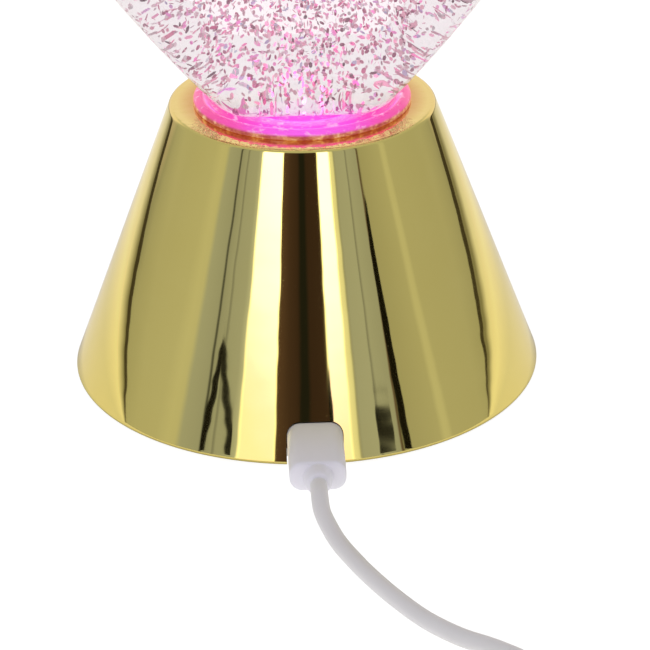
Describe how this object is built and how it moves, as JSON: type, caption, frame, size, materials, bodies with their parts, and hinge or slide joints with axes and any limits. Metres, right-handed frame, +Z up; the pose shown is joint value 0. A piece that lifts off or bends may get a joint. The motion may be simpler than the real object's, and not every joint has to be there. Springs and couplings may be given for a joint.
{
  "type": "glitter heart lamp",
  "caption": "Table lamp: a clear heart full of liquid and glitter, lit pink from below and stirred by a magnet drive, on a mirror-gold cone base with a USB lead and a slide switch.",
  "frame": {"origin": "on the table under the middle of the cone base", "axes": "+Z up, -Y towards the USB port and the picture's camera, +X to the right in the picture"},
  "size_m": [0.1378, 0.243, 0.1818],
  "materials": {
    "gold": "mirror-bright gold plating on moulded plastic",
    "white_abs": "moulded satin",
    "steel": "zinc plated",
    "rubber": "matte",
    "pink_clear": "clear moulding lit pink from below",
    "clear": "polished clear moulding",
    "liquid": "clear liquid with pink glitter flakes",
    "natural_nylon": "natural moulded",
    "magnet": "nickel plated",
    "black_abs": "moulded",
    "motor_metal": "plated sheet can",
    "white_board": "white solder mask",
    "green_board": "green solder mask",
    "led": "white LED package",
    "red_pvc": "wire insulation",
    "black_pvc": "wire insulation",
    "white_pvc": "satin moulded",
    "strap": "hook and loop strap"
  },
  "bodies": {
    "lamp": {"base_cone": "gold", "base_plate": "white_abs", "base_screws": "steel", "rubber_feet": "rubber", "light_collar": "pink_clear", "heart_front": "clear", "heart_rear": "clear", "glitter_liquid": "liquid", "vessel_neck": "clear", "neck_nut": "natural_nylon", "vessel_plug": "clear", "plug_seal": "rubber", "stirrer_clip": "steel", "motor_can": "motor_metal", "motor_screws": "steel", "motor_tower": "white_abs", "tower_screws": "steel", "led_board": "white_board", "leds": "led", "led_screws": "steel", "usb_board": "green_board", "usb_socket": "steel", "usb_screws": "steel", "switch_body": "motor_metal", "switch_screws": "steel", "supply_wires": "red_pvc", "motor_wires": "black_pvc", "switch_wires": "black_pvc"},
    "rotor": {"motor_shaft": "steel", "drive_disc": "black_abs", "drive_magnets": "magnet"},
    "stirrer": {"stirrer": "natural_nylon", "stirrer_magnets": "magnet"},
    "switch": {"switch_slider": "black_abs"},
    "lead": {"lamp_plug_shell": "steel", "lamp_plug_housing": "white_pvc", "lamp_plug_boot": "white_pvc", "cord_lead": "white_pvc", "cord_coil": "white_pvc", "cord_tail": "white_pvc", "cord_tie": "strap", "charger_plug_boot": "white_pvc", "charger_plug_housing": "white_pvc", "charger_plug_shell": "steel", "charger_plug_tongue": "white_abs"}
  },
  "joints": [
    {"name": "motor_spin", "type": "hinge", "parent": "lamp", "child": "rotor", "pos_m": [0, 0, 0.035], "axis": [0, 0, 1], "continuous": true},
    {"name": "stirrer_spin", "type": "hinge", "parent": "lamp", "child": "stirrer", "pos_m": [0, 0, 0.056], "axis": [0, 0, 1], "continuous": true},
    {"name": "switch_slide", "type": "slide", "parent": "lamp", "child": "switch", "axis": [1, 0, 0], "range_m": [0, 0.004]},
    {"name": "usb_unplug", "type": "slide", "parent": "lamp", "child": "lead", "axis": [0, -1, 0], "range_m": [0, 0.012]}
  ],
  "couplings": [
    {"joint": "stirrer_spin", "follows": "motor_spin", "ratio": 1}
  ]
}
